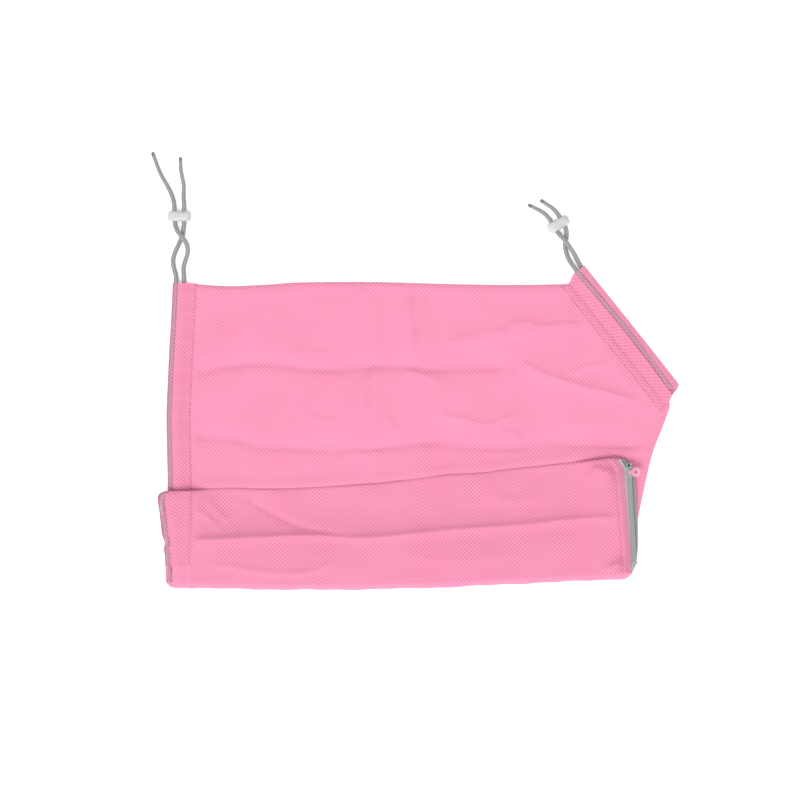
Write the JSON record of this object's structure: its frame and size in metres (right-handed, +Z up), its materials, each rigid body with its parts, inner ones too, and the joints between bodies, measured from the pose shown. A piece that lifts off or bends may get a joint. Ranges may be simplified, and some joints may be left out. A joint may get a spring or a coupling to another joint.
{
  "type": "drawstring mesh grooming bag",
  "caption": "Flat-folded mesh pet grooming bag: straight tail mouth, slanted neck mouth, drawcords with two-hole stoppers, short zip.",
  "frame": {"origin": "middle of the flattened bag in plan, on the surface that it lies on", "axes": "+X from the tail mouth to the slanted neck mouth, +Y from the belly fold to the top seam, +Z up"},
  "size_m": [0.5107, 0.4218, 0.0175],
  "materials": {
    "pink_mesh": "matte open mesh",
    "cord_braid": "matte braid",
    "stopper_plastic": "satin",
    "zip_tape": "matte",
    "zip_coil": "satin",
    "zip_metal": "satin",
    "pull_plastic": "translucent"
  },
  "bodies": {
    "bag": {"back_panel": "pink_mesh", "front_panel": "pink_mesh", "top_seam_allowance": "pink_mesh", "chest_seam_allowance": "pink_mesh", "tail_casing_front": "pink_mesh", "tail_casing_back": "pink_mesh", "neck_band_front": "pink_mesh", "neck_band_back": "pink_mesh", "neck_band_end": "pink_mesh", "fold_bend_outer": "pink_mesh", "fold_bend_inner": "pink_mesh", "casing_fold_bend": "pink_mesh", "tail_cord_front_run": "cord_braid", "tail_cord_back_run": "cord_braid", "tail_cord_front_bend": "cord_braid", "tail_cord_back_bend": "cord_braid", "neck_cord_band_run": "cord_braid", "tail_cord_loop_left": "cord_braid", "tail_cord_loop_right": "cord_braid", "tail_cord_end_left": "cord_braid", "tail_cord_end_right": "cord_braid", "neck_cord_loop_left": "cord_braid", "neck_cord_loop_right": "cord_braid", "neck_cord_end_left": "cord_braid", "neck_cord_end_right": "cord_braid"},
    "belly_flap": {"belly_flap_inner_layer": "pink_mesh", "belly_flap_outer_layer": "pink_mesh", "belly_edge_fold": "pink_mesh", "flap_casing_outer": "pink_mesh", "flap_casing_inner": "pink_mesh", "flap_casing_corner": "pink_mesh", "tail_cord_flap_run": "cord_braid", "zip_tape_upper": "zip_tape", "zip_tape_lower": "zip_tape", "zip_coil_upper": "zip_coil", "zip_coil_lower": "zip_coil", "zip_top_stops": "zip_coil", "zip_bottom_stop": "zip_coil"},
    "tail_stopper": {"tail_cord_stopper": "stopper_plastic"},
    "neck_stopper": {"neck_cord_stopper": "stopper_plastic"},
    "zip_slider": {"zip_slider": "zip_metal"},
    "zip_pull": {"zip_pull": "pull_plastic"}
  },
  "joints": [
    {"name": "belly_fold", "type": "hinge", "parent": "bag", "child": "belly_flap", "pos_m": [-0.24309, -0.155, 0.00845], "axis": [0.9998, 0.0188, 0], "range_deg": [0, 175], "deforming": ["fold_bend_outer", "fold_bend_inner", "casing_fold_bend", "tail_cord_front_bend", "tail_cord_back_bend"]},
    {"name": "tail_stopper_slide", "type": "slide", "parent": "bag", "child": "tail_stopper", "axis": [0, 1, 0], "range_m": [-0.048, 0.045], "deforming": ["tail_cord_loop_left", "tail_cord_loop_right", "tail_cord_end_left", "tail_cord_end_right"]},
    {"name": "neck_stopper_slide", "type": "slide", "parent": "bag", "child": "neck_stopper", "axis": [-0.5, 0.866, 0], "range_m": [-0.035, 0.022], "deforming": ["neck_cord_loop_left", "neck_cord_loop_right", "neck_cord_end_left", "neck_cord_end_right"]},
    {"name": "zip_slide", "type": "slide", "parent": "belly_flap", "child": "zip_slider", "axis": [0.0593, -0.9982, 0], "range_m": [0, 0.078]},
    {"name": "zip_pull_turn", "type": "hinge", "parent": "zip_slider", "child": "zip_pull", "pos_m": [0.20137, -0.04299, 0.0161], "axis": [0.0593, -0.9982, 0], "range_deg": [0, 190]}
  ]
}
